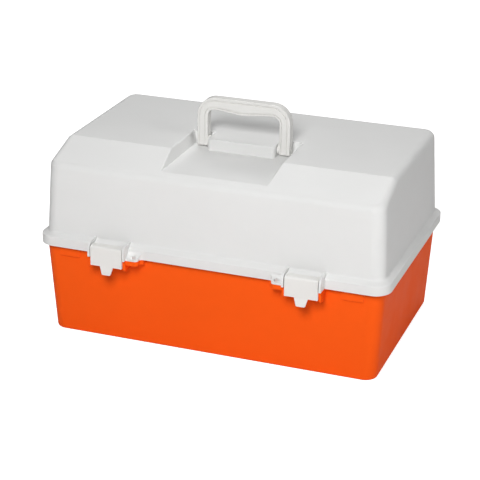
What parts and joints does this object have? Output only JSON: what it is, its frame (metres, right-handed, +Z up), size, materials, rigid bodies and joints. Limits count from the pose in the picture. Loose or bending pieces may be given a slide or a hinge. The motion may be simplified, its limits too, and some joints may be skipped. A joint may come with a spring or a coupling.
{
  "type": "fishing tackle box",
  "caption": "Hard plastic tackle box: hinged lid with a fold-down carry handle, draw-over latches, padlock tabs and cantilever trays that rise and spread as the lid opens.",
  "frame": {"origin": "centre of the base's flat underside", "axes": "+X to the right seen from the front, +Y to the back where the lid hinges, +Z up"},
  "size_m": [0.43, 0.2929, 0.2775],
  "materials": {
    "orange_plastic": "fine-grained moulded polypropylene",
    "white_plastic": "fine-grained moulded polypropylene",
    "tray_plastic": "smooth moulded polypropylene",
    "steel": "zinc-plated"
  },
  "bodies": {
    "base": {"base": "orange_plastic", "hinge_pin_left": "steel", "hinge_pin_right": "steel", "base_arm_rivets": "steel"},
    "lid": {"lid": "white_plastic", "lid_arm_left": "steel", "lid_arm_right": "steel", "lid_arm_screws": "steel"},
    "handle": {"handle": "white_plastic"},
    "latch_left": {"latch_left": "white_plastic"},
    "latch_right": {"latch_right": "white_plastic"},
    "base_arm_left": {"base_arm_left": "steel"},
    "base_arm_right": {"base_arm_right": "steel"},
    "lower_tray": {"lower_tray": "tray_plastic", "lower_tray_rivets": "steel", "lower_divider_front_1": "tray_plastic", "lower_divider_front_2": "tray_plastic", "lower_divider_rear_1": "tray_plastic"},
    "upper_tray": {"upper_tray": "tray_plastic", "upper_tray_rivets": "steel", "upper_divider_front_1": "tray_plastic", "upper_divider_front_2": "tray_plastic", "upper_divider_front_3": "tray_plastic", "upper_divider_rear_1": "tray_plastic", "upper_divider_rear_2": "tray_plastic"}
  },
  "joints": [
    {"name": "lid_hinge", "type": "hinge", "parent": "base", "child": "lid", "pos_m": [0, 0.137, 0.1115], "axis": [-1, 0, 0], "range_deg": [0, 105]},
    {"name": "base_arm_left_pivot", "type": "hinge", "parent": "base", "child": "base_arm_left", "pos_m": [-0.1943, 0.035, 0.1115], "axis": [-1, 0, 0], "range_deg": [0, 105]},
    {"name": "base_arm_right_pivot", "type": "hinge", "parent": "base", "child": "base_arm_right", "pos_m": [0.1943, 0.035, 0.1115], "axis": [-1, 0, 0], "range_deg": [0, 105]},
    {"name": "lower_tray_pivot", "type": "hinge", "parent": "lid", "child": "lower_tray", "pos_m": [0, 0.072, 0.1375], "axis": [1, 0, 0], "range_deg": [0, 105]},
    {"name": "upper_tray_pivot", "type": "hinge", "parent": "lid", "child": "upper_tray", "pos_m": [0, 0.007, 0.1635], "axis": [1, 0, 0], "range_deg": [0, 105]},
    {"name": "handle_fold", "type": "hinge", "parent": "lid", "child": "handle", "pos_m": [0, -0.005, 0.2225], "axis": [1, 0, 0], "range_deg": [0, 90]},
    {"name": "latch_left_pivot", "type": "hinge", "parent": "lid", "child": "latch_left", "pos_m": [-0.1192, -0.1388, 0.1211], "axis": [-1, 0, 0], "range_deg": [0, 110]},
    {"name": "latch_right_pivot", "type": "hinge", "parent": "lid", "child": "latch_right", "pos_m": [0.1192, -0.1388, 0.1211], "axis": [-1, 0, 0], "range_deg": [0, 110]}
  ],
  "couplings": [
    {"joint": "base_arm_left_pivot", "follows": "lid_hinge", "ratio": 1},
    {"joint": "base_arm_right_pivot", "follows": "lid_hinge", "ratio": 1},
    {"joint": "lower_tray_pivot", "follows": "lid_hinge", "ratio": 1},
    {"joint": "upper_tray_pivot", "follows": "lid_hinge", "ratio": 1}
  ]
}
